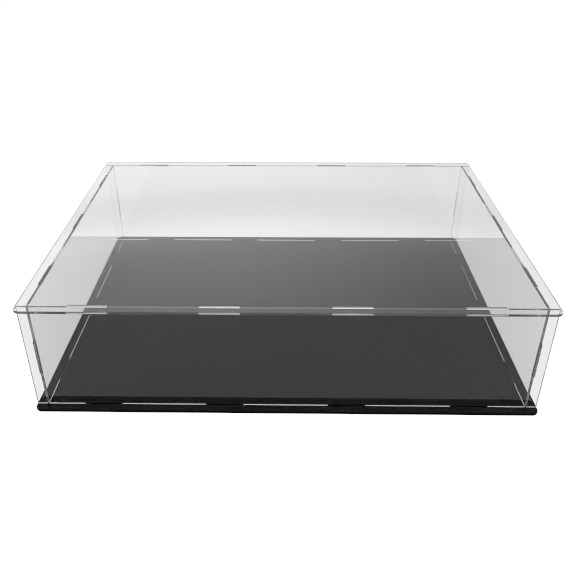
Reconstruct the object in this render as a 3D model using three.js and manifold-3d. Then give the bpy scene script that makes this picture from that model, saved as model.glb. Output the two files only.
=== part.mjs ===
// A display case for an open book: a black base sheet, four clear walls and a clear top sheet.
// The sheets are cut flat and hold each other by tabs that stand in slots, with no screws or hinges.
// Millimetres, +Z up, the front towards -Y. The origin is the middle of the base's underside.

import * as THREE from 'three';
import { mergeVertices } from 'three/addons/utils/BufferGeometryUtils.js';
import Module from 'manifold-3d';

// Plates: the base and the top share one outline.
const plateLength = 600;
const plateDepth = 457;
const plateCornerRadius = 8;
const baseThickness = 3;
const topThickness = 3;

// Walls: one sheet thickness, and the clear height between the two plates.
const wallThickness = 3;
const wallHeight = 137;

// Where the walls' outer faces stand, measured in from the plates' edges.
const frontInset = 11;
const sideInset = 11;
const longWallEndInset = 0.5;

// Tabs along the front and back walls, along the side walls, and on the side walls' ends.
const longTabCount = 4;
const longTabPitch = 146.5;
const longTabWidth = 45;
const sideTabCount = 3;
const sideTabPitch = 148;
const sideTabWidth = 45;
const endTabWidth = 45;

// Fits: a slot's play round its tab on each side, the play at a tab's shoulders, and how far
// a tab's end lies below the face that it comes out at.
const slotPlay = 0.15;
const shoulderPlay = 0.1;
const tabRecess = 0.2;

// A slot's cutting block runs this far past both faces of its sheet.
const cutOverrun = 1;

// Steps in each rounded corner.
const cornerSteps = 10;

// Sizes that follow from the ones above.
const longWallLength = plateLength - 2 * longWallEndInset;
const longWallOuterY = plateDepth / 2 - frontInset;
const longWallMiddleY = longWallOuterY - wallThickness / 2;
const longWallInnerY = longWallOuterY - wallThickness;
const sideWallOuterX = plateLength / 2 - sideInset;
const sideWallMiddleX = sideWallOuterX - wallThickness / 2;
const sideWallInnerX = sideWallOuterX - wallThickness;
const sideWallLength = 2 * (longWallInnerY - shoulderPlay);
const wallBodyHeight = wallHeight - 2 * shoulderPlay;
const wallMiddleZ = baseThickness + wallHeight / 2;
const topPlateZ = baseThickness + wallHeight;
const slotWidth = wallThickness + 2 * slotPlay;

// How far each kind of tab stands out of its wall's edge.
const footTabReach = shoulderPlay + baseThickness - tabRecess;
const headTabReach = shoulderPlay + topThickness - tabRecess;
const endTabReach = shoulderPlay + wallThickness - tabRecess;

const blackAcrylic = new THREE.MeshStandardMaterial({
  name: 'black_acrylic',
  color: 0x0a0a0b,
  roughness: 0.12,
  metalness: 0,
});

const clearAcrylic = new THREE.MeshStandardMaterial({
  name: 'clear_acrylic',
  color: 0xf2f5f5,
  roughness: 0.04,
  metalness: 0,
  transparent: true,
  opacity: 0.2,
});

const manifold = await Module();
manifold.setup();

// A closed geometry as a solid that can be cut.
function solidFrom(geometry) {
  const bare = geometry.clone();
  bare.deleteAttribute('normal');
  bare.deleteAttribute('uv');
  const merged = mergeVertices(bare);
  const mesh = new manifold.Mesh({
    numProp: 3,
    vertProperties: new Float32Array(merged.getAttribute('position').array),
    triVerts: new Uint32Array(merged.index.array),
  });
  return new manifold.Manifold(mesh);
}

// A cut solid back as a flat-shaded geometry.
function geometryFrom(solid) {
  const mesh = solid.getMesh();
  const indexed = new THREE.BufferGeometry();
  indexed.setAttribute('position', new THREE.BufferAttribute(mesh.vertProperties, 3));
  indexed.setIndex(new THREE.BufferAttribute(mesh.triVerts, 1));
  const geometry = indexed.toNonIndexed();
  geometry.computeVertexNormals();
  return geometry;
}

// A sheet of one thickness, drawn flat, with a block cut out of it for each slot.
// Each slot is its middle and its two sizes in the sheet's own plane.
function cutSheet(outline, thickness, slots) {
  const blank = new THREE.ExtrudeGeometry(outline, {
    depth: thickness,
    bevelEnabled: false,
    curveSegments: cornerSteps,
  });
  let sheet = solidFrom(blank);
  for (const slot of slots) {
    const block = new THREE.BoxGeometry(slot.sizeX, slot.sizeY, thickness + 2 * cutOverrun);
    block.translate(slot.middleX, slot.middleY, thickness / 2);
    sheet = sheet.subtract(solidFrom(block));
  }
  return geometryFrom(sheet);
}

// The middles of a row of tabs, evenly pitched about the middle of their edge.
function tabMiddles(count, pitch) {
  return Array.from({ length: count }, (_, index) => (index - (count - 1) / 2) * pitch);
}

const longTabMiddles = tabMiddles(longTabCount, longTabPitch);
const sideTabMiddles = tabMiddles(sideTabCount, sideTabPitch);

// The plates' outline: a rectangle with round corners, drawn anticlockwise.
function plateOutline() {
  const arcX = plateLength / 2 - plateCornerRadius;
  const arcY = plateDepth / 2 - plateCornerRadius;
  const quarter = Math.PI / 2;
  const corners = [
    [arcX, -arcY, -quarter],
    [arcX, arcY, 0],
    [-arcX, arcY, quarter],
    [-arcX, -arcY, Math.PI],
  ];
  const outline = new THREE.Shape();
  for (const [x, y, startAngle] of corners) {
    outline.absarc(x, y, plateCornerRadius, startAngle, startAngle + quarter, false);
  }
  return outline;
}

// One slot for each tab that the four walls stand in or hold up.
function plateSlots() {
  const slots = [];
  for (const side of [-1, 1]) {
    for (const middle of longTabMiddles) {
      slots.push({
        middleX: middle,
        middleY: side * longWallMiddleY,
        sizeX: longTabWidth + 2 * slotPlay,
        sizeY: slotWidth,
      });
    }
    for (const middle of sideTabMiddles) {
      slots.push({
        middleX: side * sideWallMiddleX,
        middleY: middle,
        sizeX: slotWidth,
        sizeY: sideTabWidth + 2 * slotPlay,
      });
    }
  }
  return slots;
}

function makePlate(name, thickness, undersideZ, material) {
  const plate = new THREE.Mesh(cutSheet(plateOutline(), thickness, plateSlots()), material);
  plate.name = name;
  plate.position.z = undersideZ;
  return plate;
}

// One straight edge of a wall, from start to end, with tabs standing out on its right-hand side.
function addTabbedEdge(outline, start, end, middles, tabWidth, tabReach) {
  const along = end.clone().sub(start).normalize();
  const outward = new THREE.Vector2(along.y, -along.x);
  const edgeMiddle = start.clone().add(end).multiplyScalar(0.5);
  for (const middle of middles) {
    const near = edgeMiddle.clone().addScaledVector(along, middle - tabWidth / 2);
    const far = edgeMiddle.clone().addScaledVector(along, middle + tabWidth / 2);
    const nearTip = near.clone().addScaledVector(outward, tabReach);
    const farTip = far.clone().addScaledVector(outward, tabReach);
    for (const point of [near, nearTip, farTip, far]) {
      outline.lineTo(point.x, point.y);
    }
  }
  outline.lineTo(end.x, end.y);
}

// A wall drawn flat about the middle of its height: foot, end, head and end tabs, anticlockwise.
function wallOutline(length, rowMiddles, rowTabWidth, endMiddles) {
  const footLeft = new THREE.Vector2(-length / 2, -wallBodyHeight / 2);
  const footRight = new THREE.Vector2(length / 2, -wallBodyHeight / 2);
  const headRight = new THREE.Vector2(length / 2, wallBodyHeight / 2);
  const headLeft = new THREE.Vector2(-length / 2, wallBodyHeight / 2);
  const outline = new THREE.Shape();
  outline.moveTo(footLeft.x, footLeft.y);
  addTabbedEdge(outline, footLeft, footRight, rowMiddles, rowTabWidth, footTabReach);
  addTabbedEdge(outline, footRight, headRight, endMiddles, endTabWidth, endTabReach);
  addTabbedEdge(outline, headRight, headLeft, rowMiddles, rowTabWidth, headTabReach);
  addTabbedEdge(outline, headLeft, footLeft, endMiddles, endTabWidth, endTabReach);
  return outline;
}

// The front and back walls run the full length and take the side walls' end tabs in slots.
function makeLongWall(name, lowY) {
  const outline = wallOutline(longWallLength, longTabMiddles, longTabWidth, []);
  const slots = [-1, 1].map((side) => ({
    middleX: side * sideWallMiddleX,
    middleY: 0,
    sizeX: slotWidth,
    sizeY: endTabWidth + 2 * slotPlay,
  }));
  const wall = new THREE.Mesh(cutSheet(outline, wallThickness, slots), clearAcrylic);
  wall.name = name;
  wall.rotation.x = Math.PI / 2;
  wall.position.set(0, lowY + wallThickness, wallMiddleZ);
  return wall;
}

// The side walls stand between the long ones, with one tab at the middle of each end.
function makeSideWall(name, lowX) {
  const outline = wallOutline(sideWallLength, sideTabMiddles, sideTabWidth, [0]);
  const wall = new THREE.Mesh(cutSheet(outline, wallThickness, []), clearAcrylic);
  wall.name = name;
  wall.rotation.set(Math.PI / 2, Math.PI / 2, 0);
  wall.position.set(lowX, 0, wallMiddleZ);
  return wall;
}

const walls = new THREE.Group();
walls.add(makeLongWall('front_panel', -longWallOuterY));
walls.add(makeLongWall('back_panel', longWallInnerY));
walls.add(makeSideWall('left_panel', -sideWallOuterX));
walls.add(makeSideWall('right_panel', sideWallInnerX));

const displayCase = new THREE.Group();
displayCase.add(makePlate('base_plate', baseThickness, 0, blackAcrylic));
displayCase.add(walls);
displayCase.add(makePlate('top_plate', topThickness, topPlateZ, clearAcrylic));

export default displayCase;
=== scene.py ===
# A book display case: a black base sheet, four clear walls and a clear top sheet,
# held together by tabs in slots.
import bpy
import numpy as np
from math import radians
from mathutils import Matrix, Vector


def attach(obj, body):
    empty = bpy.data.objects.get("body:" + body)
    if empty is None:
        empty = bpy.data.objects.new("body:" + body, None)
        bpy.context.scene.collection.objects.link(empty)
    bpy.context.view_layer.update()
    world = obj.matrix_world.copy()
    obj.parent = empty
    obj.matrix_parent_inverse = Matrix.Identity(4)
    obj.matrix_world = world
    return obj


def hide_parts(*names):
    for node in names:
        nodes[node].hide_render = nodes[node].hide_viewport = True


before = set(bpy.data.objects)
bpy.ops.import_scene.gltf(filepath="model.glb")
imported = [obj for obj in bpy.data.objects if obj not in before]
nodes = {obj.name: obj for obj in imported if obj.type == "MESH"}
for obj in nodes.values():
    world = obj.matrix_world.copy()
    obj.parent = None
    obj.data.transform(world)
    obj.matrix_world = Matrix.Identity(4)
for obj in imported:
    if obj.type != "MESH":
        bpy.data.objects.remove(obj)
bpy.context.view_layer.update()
scene = bpy.context.scene
print("frame loaded:", ", ".join(sorted(nodes)))

# Camera, at the photograph's viewpoint. Turned from looking level along +Y:
# roll about the view line, pitch down, then yaw about the upright.
cameraSpec = {
    "place": (-0.0003, -0.8356, 0.5411),  # metres
    "lens": 41.9,  # millimetres, as the sensor
    "sensorWidth": 36,
    "yaw": 1.237,  # degrees, as the pitch and the roll
    "pitchDown": 31.107,
    "roll": 0.346,
    "shift": 0.0253,
}


def addCamera(spec):
    data = bpy.data.cameras.new("studioCamera")
    data.lens = spec["lens"]
    data.sensor_width = spec["sensorWidth"]
    data.shift_x = spec["shift"]
    camera = bpy.data.objects.new("studioCamera", data)
    scene.collection.objects.link(camera)
    quarterTurn = radians(90)  # from looking straight down to looking level along +Y
    turn = (
        Matrix.Rotation(radians(spec["yaw"]), 4, "Z")
        @ Matrix.Rotation(radians(-spec["pitchDown"]), 4, "X")
        @ Matrix.Rotation(radians(spec["roll"]), 4, "Y")
    )
    level = Matrix.Rotation(quarterTurn, 4, "X")
    camera.matrix_world = Matrix.Translation(Vector(spec["place"])) @ turn @ level
    scene.camera = camera


addCamera(cameraSpec)
print("camera placed")

# Small helpers for building node trees.


def newMaterial(name):
    material = bpy.data.materials.new(name)
    material.use_nodes = True
    tree = material.node_tree
    tree.nodes.clear()
    return material, tree


def addNode(tree, kind, values=None, **settings):
    # A node with its settings, and with values for some of its inputs.
    node = tree.nodes.new(kind)
    for key, value in settings.items():
        setattr(node, key, value)
    for key, value in (values or {}).items():
        node.inputs[key].default_value = value
    return node


def link(tree, source, target):
    tree.links.new(source, target)


def mathNode(tree, operation, first, second):
    # One sum of two values, each a number or another node's output.
    node = addNode(tree, "ShaderNodeMath", operation=operation)
    for socket, value in zip(node.inputs, (first, second)):
        if isinstance(value, (int, float)):
            socket.default_value = value
        else:
            link(tree, value, socket)
    return node.outputs["Value"]


def ramp(tree, source, run, start, end):
    # A smooth change from start to end while the source goes through its run, low to high.
    low, high = run
    node = addNode(tree, "ShaderNodeMapRange", {"From Min": low, "From Max": high})
    node.interpolation_type = "SMOOTHSTEP"
    node.inputs["To Min"].default_value = start
    node.inputs["To Max"].default_value = end
    link(tree, source, node.inputs["Value"])
    return node.outputs["Result"]


def heightProfile(tree, height, stops):
    # A level for each height of the view direction, run smoothly between the stops. The ramp holds
    # levels up to one, so it is given a share of each, and its output is multiplied up again.
    heldShare = 0.5
    node = addNode(tree, "ShaderNodeValToRGB")
    elements = node.color_ramp.elements
    node.color_ramp.interpolation = "EASE"
    elements.remove(elements[1])
    firstPlace, firstLevel = stops[0]
    elements[0].position = firstPlace
    elements[0].color = [firstLevel * heldShare] * 3 + [1]
    for place, level in stops[1:]:
        elements.new(place).color = [level * heldShare] * 3 + [1]
    link(tree, height, node.inputs["Fac"])
    return mathNode(tree, "MULTIPLY", node.outputs["Color"], 1 / heldShare)


# Surroundings: pure white to the camera. To every other ray the world is a pale studio, dimmer in
# front and on both sides, most on the right, with a soft darker band over its back. Each run is
# the part of the view direction's X, Y or Z over which a level changes.
studioSpec = {
    "leftLevel": 1.04,
    "rightLevel": 0.52,
    "rightRun": (-0.105, 0.405),
    "farLeftShare": 0.8,
    "farLeftRun": (-0.5, -0.1),
    "heightStops": (  # height of the view direction, and its level
        (0.0, 0.9), (0.36, 0.9), (0.377, 0.8), (0.393, 0.56), (0.402, 0.5), (0.417, 0.61),
        (0.432, 0.92), (0.441, 1.1), (0.462, 0.94), (0.5, 0.9),
    ),
    "highLevel": 0.8,
    "highRun": (0.54, 0.66),
    "frontShare": 0.5,
    "frontRun": (-0.4, 0.4),
}
floorSpec = {
    "size": 12.0,
    "drop": 0.0005,  # just under the base, so that the two don't share a plane
    "grey": 0.55,  # of the paint
    "through": 0.875,  # level for rays that come through a sheet
    # near the case, the mirrored level is a painted shade round it
    "mirroredShadeNear": 0.05,  # level for mirrored rays, near the case and far from it
    "mirroredFar": 0.85,
    "mirroredRun": (0.6, 1.5),  # metres from the middle of the case
    "seen": 0.93,  # level for the camera, to which the lamps add the shadow's share
    "shadowShare": 0.12,
}
lampSpec = {
    "height": 2.0,
    "spacing": 0.46,
    "width": 0.2,
    "length": 1.4,
    "watts": 14.0,
    "count": 4,
}


def addWorld(spec):
    # The level is the right side's run times the far left's share and the height's profile, gives
    # way to one level high up, and is multiplied by the front's share. The camera sees plain white.
    world = bpy.data.worlds.new("paleStudio")
    scene.world = world
    world.use_nodes = True
    tree = world.node_tree
    tree.nodes.clear()
    path = addNode(tree, "ShaderNodeLightPath")
    place = addNode(tree, "ShaderNodeTexCoord")
    parts = addNode(tree, "ShaderNodeSeparateXYZ")
    link(tree, place.outputs["Generated"], parts.inputs["Vector"])
    across, depth, height = parts.outputs["X"], parts.outputs["Y"], parts.outputs["Z"]
    level = ramp(tree, across, spec["rightRun"], spec["leftLevel"], spec["rightLevel"])
    farLeft = ramp(tree, across, spec["farLeftRun"], spec["farLeftShare"], 1.0)
    level = mathNode(tree, "MULTIPLY", level, farLeft)
    level = mathNode(tree, "MULTIPLY", level, heightProfile(tree, height, spec["heightStops"]))
    upper = addNode(tree, "ShaderNodeMix", data_type="FLOAT")
    upper.inputs["B"].default_value = spec["highLevel"]
    link(tree, level, upper.inputs["A"])
    link(tree, ramp(tree, height, spec["highRun"], 0.0, 1.0), upper.inputs["Factor"])
    dimmed = ramp(tree, depth, spec["frontRun"], spec["frontShare"], 1.0)
    level = mathNode(tree, "MULTIPLY", upper.outputs["Result"], dimmed)
    seen = addNode(tree, "ShaderNodeMix", data_type="FLOAT")
    seen.inputs["B"].default_value = 1.0
    link(tree, level, seen.inputs["A"])
    link(tree, path.outputs["Is Camera Ray"], seen.inputs["Factor"])
    background = addNode(tree, "ShaderNodeBackground", {"Color": (1, 1, 1, 1)})
    link(tree, seen.outputs["Result"], background.inputs["Strength"])
    out = addNode(tree, "ShaderNodeOutputWorld")
    link(tree, background.outputs["Background"], out.inputs["Surface"])


def floorMaterial(spec):
    # White with a soft shadow to the camera, set levels to mirrored and transmitted rays,
    # and plain pale paint to all others. The mirrored level is a painted shade round the case: low
    # there, so that the black base stays dark behind the walls, and rising with the distance from
    # it.
    material, tree = newMaterial("paleFloor")
    path = addNode(tree, "ShaderNodeLightPath")
    grey, share = spec["grey"], spec["shadowShare"]
    paint = addNode(tree, "ShaderNodeBsdfDiffuse", {"Color": (grey, grey, grey, 1)})
    place = addNode(tree, "ShaderNodeTexCoord")
    away = addNode(tree, "ShaderNodeVectorMath", operation="LENGTH")
    link(tree, place.outputs["Object"], away.inputs[0])
    near, far = spec["mirroredShadeNear"], spec["mirroredFar"]
    # painted shade: the floor's mirrored level is dark round the case and rises away from it
    mirroredLevel = ramp(tree, away.outputs["Value"], spec["mirroredRun"], near, far)
    mirrored = addNode(tree, "ShaderNodeEmission")
    link(tree, mirroredLevel, mirrored.inputs["Strength"])
    through = addNode(tree, "ShaderNodeEmission", {"Strength": spec["through"]})
    white = addNode(tree, "ShaderNodeEmission", {"Strength": spec["seen"]})
    shadow = addNode(tree, "ShaderNodeBsdfDiffuse", {"Color": (share, share, share, 1)})
    seen = addNode(tree, "ShaderNodeAddShader")
    link(tree, white.outputs["Emission"], seen.inputs[0])
    link(tree, shadow.outputs["BSDF"], seen.inputs[1])
    surface = paint.outputs["BSDF"]
    kinds = (
        ("Is Glossy Ray", mirrored.outputs["Emission"]),
        ("Is Transmission Ray", through.outputs["Emission"]),
        ("Is Camera Ray", seen.outputs["Shader"]),
    )
    for kind, shader in kinds:
        mix = addNode(tree, "ShaderNodeMixShader")
        link(tree, path.outputs[kind], mix.inputs["Fac"])
        link(tree, surface, mix.inputs[1])
        link(tree, shader, mix.inputs[2])
        surface = mix.outputs["Shader"]
    out = addNode(tree, "ShaderNodeOutputMaterial")
    link(tree, surface, out.inputs["Surface"])
    return material


def addFloor(spec):
    half = spec["size"] / 2
    corners = [(-half, -half, 0), (half, -half, 0), (half, half, 0), (-half, half, 0)]
    mesh = bpy.data.meshes.new("floor")
    mesh.from_pydata(corners, [], [(0, 1, 2, 3)])
    mesh.materials.append(floorMaterial(spec))
    floor = bpy.data.objects.new("floor", mesh)
    floor.location.z = -spec["drop"]
    scene.collection.objects.link(floor)


def addLamps(spec):
    # A row of soft lamps overhead. They light the case, but it neither mirrors them nor shows
    # them through its sheets.
    for index in range(spec["count"]):
        data = bpy.data.lights.new("softLamp", "AREA")
        data.shape = "RECTANGLE"
        data.size = spec["width"]
        data.size_y = spec["length"]
        data.energy = spec["watts"]
        lamp = bpy.data.objects.new("softLamp", data)
        lamp.visible_glossy = False
        lamp.visible_transmission = False
        step = index - (spec["count"] - 1) / 2
        lamp.location = (step * spec["spacing"], 0, spec["height"])
        scene.collection.objects.link(lamp)


addWorld(studioSpec)
addFloor(floorSpec)
addLamps(lampSpec)
scene.view_settings.view_transform = "Standard"
# The sheets stand behind one another, and light goes round inside them, so a ray may turn often.
scene.cycles.max_bounces = 64
scene.cycles.transmission_bounces = 32
scene.cycles.glossy_bounces = 24
scene.cycles.transparent_max_bounces = 32
scene.cycles.pixel_filter_type = "BOX"  # keeps lines thinner than a pixel even and crisp
print("studio lit")

# Materials: polished faces of clear and black sheet, and their cut edges.

marksSpec = {
    "smudgeDetail": 4.0,
    "smudgeRoughness": 0.55,
    "smudgeDistortion": 0.6,
    "smudgeRun": (0.5, 0.72),
    "speckRun": (0.06, 0.16),
    "hairsTurned": (0.4, 0.7, 0.9),  # radians
    "hairsPerMetre": (900.0, 7.0, 260.0),
    "hairDetail": 1.0,
    "hairRun": (0.68, 0.78),
}
cutSpec = {
    "lineDetail": 2.0,
    "linesAlongPerMetre": 12.0,
    "hazePerMetre": 60.0,
    "hazeShare": 0.01,  # brings the haze's scale down, because its place is stretched too
    "hazeDetail": 3.0,
    "hazeRun": (0.35, 0.7),
    "wallRun": (0.02, 0.13),  # metres up, from the foot value of the lines to their head value
    "endRun": 0.001,  # metres in which the ends' own value sets in
}


def newGroup(name, numbers, outputs):
    # An empty shader node group with a vector input, named number inputs and number outputs.
    tree = bpy.data.node_groups.new(name, "ShaderNodeTree")
    tree.interface.new_socket("Vector", in_out="INPUT", socket_type="NodeSocketVector")
    for label in numbers:
        tree.interface.new_socket(label, in_out="INPUT", socket_type="NodeSocketFloat")
    for label in outputs:
        tree.interface.new_socket(label, in_out="OUTPUT", socket_type="NodeSocketFloat")
    return tree, addNode(tree, "NodeGroupInput"), addNode(tree, "NodeGroupOutput")


def placeGroup(tree, group, vector, values):
    # One use of a group in a material, with its own values.
    node = addNode(tree, "ShaderNodeGroup", node_tree=group)
    for label, value in values.items():
        node.inputs[label].default_value = value
    link(tree, vector, node.inputs["Vector"])
    return node


def handlingGroup(spec):
    # Marks of use on a polished face. Smudges are soft noise patches, kept where the noise is high.
    # Specks are the middles of small cells, kept in the few cells whose own random value is low.
    # Hairlines are noise stretched long one way, kept where it is highest.
    numbers = ("Smudges Per Metre", "Specks Per Metre", "Speck Share")
    tree, start, end = newGroup("handlingMarks", numbers, ("Smudge", "Speck", "Hairline"))
    patchValues = {
        "Detail": spec["smudgeDetail"],
        "Roughness": spec["smudgeRoughness"],
        "Distortion": spec["smudgeDistortion"],
    }
    patches = addNode(tree, "ShaderNodeTexNoise", patchValues)
    link(tree, start.outputs["Vector"], patches.inputs["Vector"])
    link(tree, start.outputs["Smudges Per Metre"], patches.inputs["Scale"])
    smudge = ramp(tree, patches.outputs["Fac"], spec["smudgeRun"], 0.0, 1.0)
    link(tree, smudge, end.inputs["Smudge"])
    cells = addNode(tree, "ShaderNodeTexVoronoi", feature="F1")
    link(tree, start.outputs["Vector"], cells.inputs["Vector"])
    link(tree, start.outputs["Specks Per Metre"], cells.inputs["Scale"])
    middle = ramp(tree, cells.outputs["Distance"], spec["speckRun"], 1.0, 0.0)
    chance = addNode(tree, "ShaderNodeSeparateColor")
    link(tree, cells.outputs["Color"], chance.inputs["Color"])
    few = mathNode(tree, "LESS_THAN", chance.outputs["Red"], start.outputs["Speck Share"])
    link(tree, mathNode(tree, "MULTIPLY", middle, few), end.inputs["Speck"])
    turn = addNode(tree, "ShaderNodeMapping")
    turn.inputs["Rotation"].default_value = spec["hairsTurned"]
    turn.inputs["Scale"].default_value = spec["hairsPerMetre"]
    link(tree, start.outputs["Vector"], turn.inputs["Vector"])
    hairs = addNode(tree, "ShaderNodeTexNoise", {"Scale": 1.0, "Detail": spec["hairDetail"]})
    link(tree, turn.outputs["Vector"], hairs.inputs["Vector"])
    hairline = ramp(tree, hairs.outputs["Fac"], spec["hairRun"], 0.0, 1.0)
    link(tree, hairline, end.inputs["Hairline"])
    return tree


def cutMarksGroup(spec):
    # Fine lines that the cutter leaves on a cut edge: noise at a place that is already stretched
    # along the cut. The second output is a slower waviness of the same edge, for its haze.
    tree, start, end = newGroup("cutMarks", ("Haze Per Metre",), ("Lines", "Haze"))
    lines = addNode(tree, "ShaderNodeTexNoise", {"Scale": 1.0, "Detail": spec["lineDetail"]})
    link(tree, start.outputs["Vector"], lines.inputs["Vector"])
    link(tree, lines.outputs["Fac"], end.inputs["Lines"])
    haze = addNode(tree, "ShaderNodeTexNoise", {"Detail": spec["hazeDetail"]})
    link(tree, start.outputs["Vector"], haze.inputs["Vector"])
    scale = mathNode(tree, "MULTIPLY", start.outputs["Haze Per Metre"], spec["hazeShare"])
    link(tree, scale, haze.inputs["Scale"])
    link(tree, ramp(tree, haze.outputs["Fac"], spec["hazeRun"], 0.0, 1.0), end.inputs["Haze"])
    return tree


def mixedTint(tree, clean, marked, mask):
    # The clean colour, turning to the marked one as the mask goes from 0 to 1.
    mix = addNode(tree, "ShaderNodeMix", data_type="RGBA")
    mix.inputs["A"].default_value = clean
    mix.inputs["B"].default_value = marked
    link(tree, mask, mix.inputs["Factor"])
    return mix.outputs["Result"]


def bumpFrom(tree, height, strength, distance):
    # A bump of the height map, its strength a number or another node's output.
    node = addNode(tree, "ShaderNodeBump", {"Distance": distance})
    if isinstance(strength, (int, float)):
        node.inputs["Strength"].default_value = strength
    else:
        link(tree, strength, node.inputs["Strength"])
    link(tree, height, node.inputs["Height"])
    return node.outputs["Normal"]


def finishMaterial(tree, shader):
    out = addNode(tree, "ShaderNodeOutputMaterial")
    link(tree, shader.outputs["BSDF"], out.inputs["Surface"])


handlingMarks = handlingGroup(marksSpec)
cutMarks = cutMarksGroup(cutSpec)
fullRun = (0.0, 1.0)  # a mask's whole range
clearSheet = {
    "colour": (0.99, 0.99, 0.99, 1),
    "smudgeColour": (0.982, 0.983, 0.985, 1),
    "ior": 1.49,
    "roughness": 0.0,
    "smudgeRoughness": 0.012,
    "speckRoughness": 0.25,
    "hairlineDepth": 0.0000006,  # metres
    "smudgesPerMetre": 14.0,
    "specksPerMetre": 240.0,
    "speckShare": 0.012,
}
blackSheet = {
    "colour": (0.004, 0.004, 0.0042, 1),
    "speckColour": (0.05, 0.049, 0.047, 1),
    "ior": 1.49,
    "specular": 0.09,
    "roughness": 0.02,
    "smudgeRoughness": 0.06,
    "hairlineDepth": 0.000003,
    "smudgesPerMetre": 11.0,
    "specksPerMetre": 200.0,
    "speckShare": 0.02,
}


def handlingPlaced(tree, spec):
    # The marks of use, at the sheet's own scales.
    place = addNode(tree, "ShaderNodeTexCoord")
    values = {
        "Smudges Per Metre": spec["smudgesPerMetre"],
        "Specks Per Metre": spec["specksPerMetre"],
        "Speck Share": spec["speckShare"],
    }
    return placeGroup(tree, handlingMarks, place.outputs["Object"], values)


def clearFaceMaterial(spec):
    # Clear glossy sheet. Smudges tint it slightly and blur it, specks of dust blur a point,
    # and hairlines are a very shallow bump.
    material, tree = newMaterial("clearFace")
    values = {"IOR": spec["ior"], "Transmission Weight": 1.0}
    shader = addNode(tree, "ShaderNodeBsdfPrincipled", values)
    marks = handlingPlaced(tree, spec)
    smudge = marks.outputs["Smudge"]
    tint = mixedTint(tree, spec["colour"], spec["smudgeColour"], smudge)
    link(tree, tint, shader.inputs["Base Color"])
    blur = ramp(tree, smudge, fullRun, spec["roughness"], spec["smudgeRoughness"])
    dust = mathNode(tree, "MULTIPLY", marks.outputs["Speck"], spec["speckRoughness"])
    link(tree, mathNode(tree, "ADD", blur, dust), shader.inputs["Roughness"])
    normal = bumpFrom(tree, marks.outputs["Hairline"], 1.0, spec["hairlineDepth"])
    link(tree, normal, shader.inputs["Normal"])
    finishMaterial(tree, shader)
    return material


def blackFaceMaterial(spec):
    # Glossy black sheet, with smudges in its gloss, pale specks of dust and shallow hairlines.
    material, tree = newMaterial("blackFace")
    values = {"IOR": spec["ior"], "Specular IOR Level": spec["specular"]}
    shader = addNode(tree, "ShaderNodeBsdfPrincipled", values)
    marks = handlingPlaced(tree, spec)
    tint = mixedTint(tree, spec["colour"], spec["speckColour"], marks.outputs["Speck"])
    link(tree, tint, shader.inputs["Base Color"])
    smudge = marks.outputs["Smudge"]
    blur = ramp(tree, smudge, fullRun, spec["roughness"], spec["smudgeRoughness"])
    link(tree, blur, shader.inputs["Roughness"])
    normal = bumpFrom(tree, marks.outputs["Hairline"], 1.0, spec["hairlineDepth"])
    link(tree, normal, shader.inputs["Normal"])
    finishMaterial(tree, shader)
    return material


def cutMarksPlaced(tree, place, thin, edge):
    # The cut's lines run along the edge: the pattern is far finer across the sheet's thickness.
    stretch = addNode(tree, "ShaderNodeMapping")
    scale = [cutSpec["linesAlongPerMetre"]] * 3
    scale[thin] = edge["linesPerMetre"]
    stretch.inputs["Scale"].default_value = scale
    link(tree, place.outputs["Object"], stretch.inputs["Vector"])
    values = {"Haze Per Metre": cutSpec["hazePerMetre"]}
    return placeGroup(tree, cutMarks, stretch.outputs["Vector"], values)


def edgeTintAndBlur(tree, shader, edge, haze):
    # The edge's colour and roughness, both turning to their hazy values with the haze.
    tint = mixedTint(tree, edge["colour"], edge["hazeColour"], haze)
    link(tree, tint, shader.inputs["Base Color"])
    blur = ramp(tree, haze, fullRun, edge["roughness"], edge["hazeRoughness"])
    link(tree, blur, shader.inputs["Roughness"])


def clearEdgeMaterial(name, thin, edge):
    # A cut clear edge: part clear, part white scatter, under the cutter's lines. The white scatter
    # is the cut's frosting, and partly painted light too: its share is set wall by wall, so that
    # some walls' lines read lit and others shaded. The lines' strength goes from its foot value to
    # its head value up the wall, or is the ends' own value where that is more, on the upright ends
    # of a wall.
    material, tree = newMaterial(name)
    values = {"IOR": clearSheet["ior"], "Transmission Weight": edge["clearnessAndPaintedLight"]}
    shader = addNode(tree, "ShaderNodeBsdfPrincipled", values)
    place = addNode(tree, "ShaderNodeTexCoord")
    marks = cutMarksPlaced(tree, place, thin, edge)
    edgeTintAndBlur(tree, shader, edge, marks.outputs["Haze"])
    parts = addNode(tree, "ShaderNodeSeparateXYZ")
    link(tree, place.outputs["Object"], parts.inputs["Vector"])
    height = parts.outputs["Z"]
    strength = ramp(tree, height, cutSpec["wallRun"], edge["footLines"], edge["headLines"])
    if thin < 2:
        longWay = "YX"[thin]  # a wall that is thin along X is long along Y, and the other way round
        reach = mathNode(tree, "ABSOLUTE", parts.outputs[longWay], 0.0)
        endRun = (edge["endsFrom"] - cutSpec["endRun"], edge["endsFrom"])
        ends = ramp(tree, reach, endRun, 0.0, edge["endLines"])
        strength = mathNode(tree, "MAXIMUM", strength, ends)
    normal = bumpFrom(tree, marks.outputs["Lines"], strength, edge["lineDepth"])
    link(tree, normal, shader.inputs["Normal"])
    finishMaterial(tree, shader)
    return material


def blackEdgeMaterial(name, thin, edge):
    # A cut black edge: the same black, matter than the face, with the cutter's lines.
    material, tree = newMaterial(name)
    values = {"IOR": blackSheet["ior"], "Specular IOR Level": blackSheet["specular"]}
    shader = addNode(tree, "ShaderNodeBsdfPrincipled", values)
    place = addNode(tree, "ShaderNodeTexCoord")
    marks = cutMarksPlaced(tree, place, thin, edge)
    edgeTintAndBlur(tree, shader, edge, marks.outputs["Haze"])
    normal = bumpFrom(tree, marks.outputs["Lines"], 1.0, edge["lineDepth"])
    link(tree, normal, shader.inputs["Normal"])
    finishMaterial(tree, shader)
    return material


clearFace = clearFaceMaterial(clearSheet)
blackFace = blackFaceMaterial(blackSheet)
print("faces finished")

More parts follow.
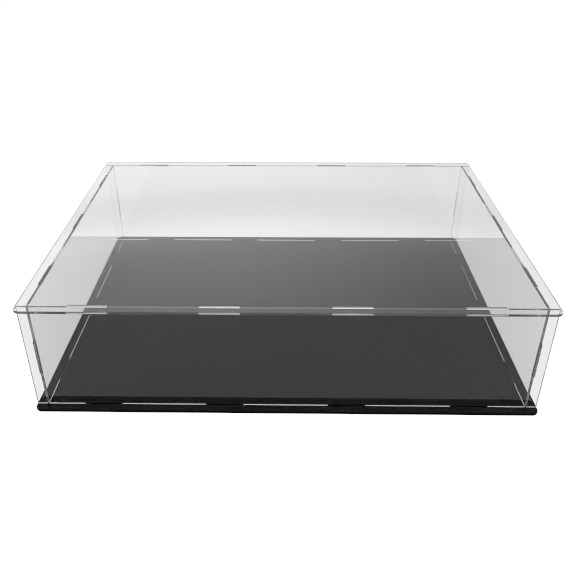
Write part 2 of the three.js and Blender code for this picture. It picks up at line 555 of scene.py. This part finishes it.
# The sheets. Each is a grid of two parameters whose lines are its node's own outline lines:
# ends, shoulders, tab sides and slot sides. Cells that the node leaves open are left out,
# then the grid gets its thickness and a fine arris on every cut edge. In a sheet's dictionary,
# thin is the axis of its thickness (0 for X, 1 for Y, 2 for Z), and lengths are in metres.

sameLine = 0.00001  # metres within which two places are on one line or in one plane
sameSide = 1e-10  # square metres: a cross product as small as this counts as on the side
arrisAngle = 40  # degrees, past which an edge gets its arris


def outlineLines(values):
    # Sorted places of the node's vertices along one axis, each kept once.
    order = np.sort(values)
    keep = np.concatenate(([True], np.diff(order) > sameLine))
    return order[keep]


def cornerLines(lines, radius, steps):
    # Lines inside the two rounded ends give way to evenly stepped ones.
    low, high = lines[0], lines[-1]
    inner = lines[(lines > low + radius + sameLine) & (lines < high - radius - sameLine)]
    run = np.linspace(0, radius, steps + 1)
    return np.concatenate((low + run, inner, high - run[::-1]))


def roundCorners(a, b, radius):
    # Squares at the four corners are mapped to quarter discs: with p and q running from 0 at the
    # square's inner sides to 1 at its outer ones, the point goes to p times the root of 1 - q*q/2,
    # and q times the root of 1 - p*p/2.
    middleA, middleB = (a.min() + a.max()) / 2, (b.min() + b.max()) / 2
    reachA, reachB = (a.max() - a.min()) / 2 - radius, (b.max() - b.min()) / 2 - radius
    p = np.clip((np.abs(a - middleA) - reachA) / radius, 0, None)
    q = np.clip((np.abs(b - middleB) - reachB) / radius, 0, None)
    corner = (p > 0) & (q > 0)
    roundA = middleA + np.sign(a - middleA) * (reachA + radius * p * np.sqrt(1 - q * q / 2))
    roundB = middleB + np.sign(b - middleB) * (reachB + radius * q * np.sqrt(1 - p * p / 2))
    return np.where(corner, roundA, a), np.where(corner, roundB, b)


def nodePlaces(node):
    # The node's vertices, one row of X, Y and Z each.
    places = np.empty(len(node.data.vertices) * 3)
    node.data.vertices.foreach_get("co", places)
    return places.reshape(-1, 3)


def cellMiddles(grid):
    # The mean of each cell's four corners.
    return (grid[:-1, :-1] + grid[1:, :-1] + grid[1:, 1:] + grid[:-1, 1:]) / 4


def filledCells(node, places, thin, wide, cellA, cellB):
    # A cell is filled where its middle lies in one of the triangles of the node's upper face.
    # It lies in a triangle when it is on or to the same side of all three of its sides, told by
    # the sign of the cross product of the side and the line from the side's start to the middle.
    node.data.calc_loop_triangles()
    corners = np.empty(len(node.data.loop_triangles) * 3, int)
    node.data.loop_triangles.foreach_get("vertices", corners)
    triangles = places[corners.reshape(-1, 3)]
    level = triangles[:, :, thin] > places[:, thin].max() - sameLine
    triangles = triangles[level.all(axis=1)][:, :, wide]
    middles = np.stack((cellA.ravel(), cellB.ravel()), axis=-1)
    sides = np.roll(triangles, -1, axis=1) - triangles
    reach = middles[:, None, None, :] - triangles[None]
    turn = sides[None, ..., 0] * reach[..., 1] - sides[None, ..., 1] * reach[..., 0]
    inside = (turn > -sameSide).all(axis=2) | (turn < sameSide).all(axis=2)
    return inside.any(axis=1).reshape(cellA.shape)


def makeSheet(name, sheet, faceMaterial, edgeMaterial):
    # The grid's points are all pairs of the two wide axes' lines, at the node's upper face. The
    # filled cells become its quads, and points that no quad uses are dropped.
    node = nodes[sheet["node"]]
    places = nodePlaces(node)
    thin, corner = sheet["thin"], sheet["corner"]
    wide = [(1, 2), (2, 0), (0, 1)][thin]
    linesA = outlineLines(places[:, wide[0]])
    linesB = outlineLines(places[:, wide[1]])
    if corner:
        linesA = cornerLines(linesA, corner, sheet["cornerSteps"])
        linesB = cornerLines(linesB, corner, sheet["cornerSteps"])
    low, high = places[:, thin].min(), places[:, thin].max()
    a, b = np.meshgrid(linesA, linesB, indexing="ij")
    if corner:
        a, b = roundCorners(a, b, corner)
    kept = filledCells(node, places, thin, wide, cellMiddles(a), cellMiddles(b))
    points = np.empty(a.shape + (3,))
    points[..., wide[0]], points[..., wide[1]], points[..., thin] = a, b, high
    number = np.arange(a.size).reshape(a.shape)
    quads = np.stack(
        (number[:-1, :-1], number[1:, :-1], number[1:, 1:], number[:-1, 1:]), axis=-1
    )[kept]
    used = np.unique(quads)
    fresh = np.zeros(a.size, int)
    fresh[used] = np.arange(used.size)
    mesh = bpy.data.meshes.new(name)
    mesh.from_pydata(points.reshape(-1, 3)[used].tolist(), [], fresh[quads].tolist())
    mesh.materials.append(faceMaterial)
    mesh.materials.append(edgeMaterial)
    piece = bpy.data.objects.new(name, mesh)
    scene.collection.objects.link(piece)
    thickness = piece.modifiers.new("thickness", "SOLIDIFY")
    thickness.thickness = high - low
    thickness.offset = -1
    thickness.material_offset_rim = 1
    arris = piece.modifiers.new("arris", "BEVEL")
    arris.width = sheet["arris"]
    arris.segments = sheet["arrisSteps"]
    arris.limit_method = "ANGLE"
    arris.angle_limit = radians(arrisAngle)
    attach(piece, sheet["body"])
    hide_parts(sheet["node"])


# The black base, with its slots for the walls' foot tabs.
basePlate = {
    "node": "base_plate",
    "thin": 2,
    "body": "base",
    "slot": "black_acrylic",
    "corner": 0.008,
    "cornerSteps": 6,
    "arris": 0.0002,
    "arrisSteps": 2,
    "edge": {
        "colour": (0.004, 0.004, 0.0042, 1),
        "hazeColour": (0.007, 0.007, 0.0073, 1),
        "roughness": 0.26,
        "hazeRoughness": 0.36,
        "linesPerMetre": 2500.0,
        "lineDepth": 0.00002,
    },
}
baseEdge = blackEdgeMaterial("blackCutEdge", basePlate["thin"], basePlate["edge"])
makeSheet("blackBase", basePlate, blackFace, baseEdge)

# The front wall, whose ends are slotted for the side walls' end tabs.
frontPanel = {
    "node": "front_panel",
    "thin": 1,
    "body": "walls",
    "slot": "clear_acrylic",
    "corner": 0.0,
    "arris": 0.0002,
    "arrisSteps": 2,
    "edge": {
        "colour": (0.95, 0.95, 0.95, 1),
        "hazeColour": (0.93, 0.93, 0.93, 1),
        # lower than on the other walls: the front wall's edges scatter more white, a painted
        # highlight on its lines
        "clearnessAndPaintedLight": 0.78,
        "roughness": 0.03,
        "hazeRoughness": 0.04,
        "footLines": 0.2,
        "headLines": 0.0,
        "endLines": 0.2,
        "endsFrom": 0.299,
        "linesPerMetre": 2500.0,
        "lineDepth": 0.0002,
    },
}
frontPanelEdge = clearEdgeMaterial("frontCutEdge", frontPanel["thin"], frontPanel["edge"])
makeSheet("frontWall", frontPanel, clearFace, frontPanelEdge)

# The back wall, of the front wall's shape.
backPanel = {
    "node": "back_panel",
    "thin": 1,
    "body": "walls",
    "slot": "clear_acrylic",
    "corner": 0.0,
    "arris": 0.0002,
    "arrisSteps": 2,
    "edge": {
        "colour": (0.95, 0.95, 0.95, 1),
        "hazeColour": (0.93, 0.93, 0.93, 1),
        "clearnessAndPaintedLight": 0.84,
        "roughness": 0.03,
        "hazeRoughness": 0.04,
        "footLines": 0.2,
        "headLines": 0.2,
        "endLines": 0.2,
        "endsFrom": 0.299,
        "linesPerMetre": 2500.0,
        "lineDepth": 0.0002,
    },
}
backPanelEdge = clearEdgeMaterial("backCutEdge", backPanel["thin"], backPanel["edge"])
makeSheet("backWall", backPanel, clearFace, backPanelEdge)

# The left wall, with end tabs through the front and back walls.
leftPanel = {
    "node": "left_panel",
    "thin": 0,
    "body": "walls",
    "slot": "clear_acrylic",
    "corner": 0.0,
    "arris": 0.0002,
    "arrisSteps": 2,
    "edge": {
        "colour": (0.95, 0.95, 0.95, 1),
        "hazeColour": (0.93, 0.93, 0.93, 1),
        # higher than on the other walls: the side walls' edges scatter less white, painted shade
        # that keeps their lines dark
        "clearnessAndPaintedLight": 0.96,
        "roughness": 0.03,
        "hazeRoughness": 0.04,
        "footLines": 0.03,
        "headLines": 1.0,
        "endLines": 1.0,
        "endsFrom": 0.214,
        "linesPerMetre": 2500.0,
        "lineDepth": 0.0008,
    },
}
leftPanelEdge = clearEdgeMaterial("leftCutEdge", leftPanel["thin"], leftPanel["edge"])
makeSheet("leftWall", leftPanel, clearFace, leftPanelEdge)

# The right wall, the left wall's twin.
rightPanel = {
    "node": "right_panel",
    "thin": 0,
    "body": "walls",
    "slot": "clear_acrylic",
    "corner": 0.0,
    "arris": 0.0002,
    "arrisSteps": 2,
    "edge": {
        "colour": (0.95, 0.95, 0.95, 1),
        "hazeColour": (0.93, 0.93, 0.93, 1),
        # higher than on the other walls: the side walls' edges scatter less white, painted shade
        # that keeps their lines dark
        "clearnessAndPaintedLight": 0.96,
        "roughness": 0.03,
        "hazeRoughness": 0.04,
        "footLines": 0.03,
        "headLines": 1.0,
        "endLines": 1.0,
        "endsFrom": 0.214,
        "linesPerMetre": 2500.0,
        "lineDepth": 0.0008,
    },
}
rightPanelEdge = clearEdgeMaterial("rightCutEdge", rightPanel["thin"], rightPanel["edge"])
makeSheet("rightWall", rightPanel, clearFace, rightPanelEdge)

# The top plate, with its slots for the walls' head tabs.
topPlate = {
    "node": "top_plate",
    "thin": 2,
    "body": "lid",
    "slot": "clear_acrylic",
    "corner": 0.008,
    "cornerSteps": 6,
    "arris": 0.0002,
    "arrisSteps": 2,
    "edge": {
        "colour": (0.95, 0.95, 0.95, 1),
        "hazeColour": (0.93, 0.93, 0.93, 1),
        "clearnessAndPaintedLight": 0.84,
        "roughness": 0.03,
        "hazeRoughness": 0.04,
        "footLines": 0.2,
        "headLines": 0.0,
        "linesPerMetre": 2500.0,
        "lineDepth": 0.0002,
    },
}
topPlateEdge = clearEdgeMaterial("topCutEdge", topPlate["thin"], topPlate["edge"])
makeSheet("clearTop", topPlate, clearFace, topPlateEdge)

print("sheets made")
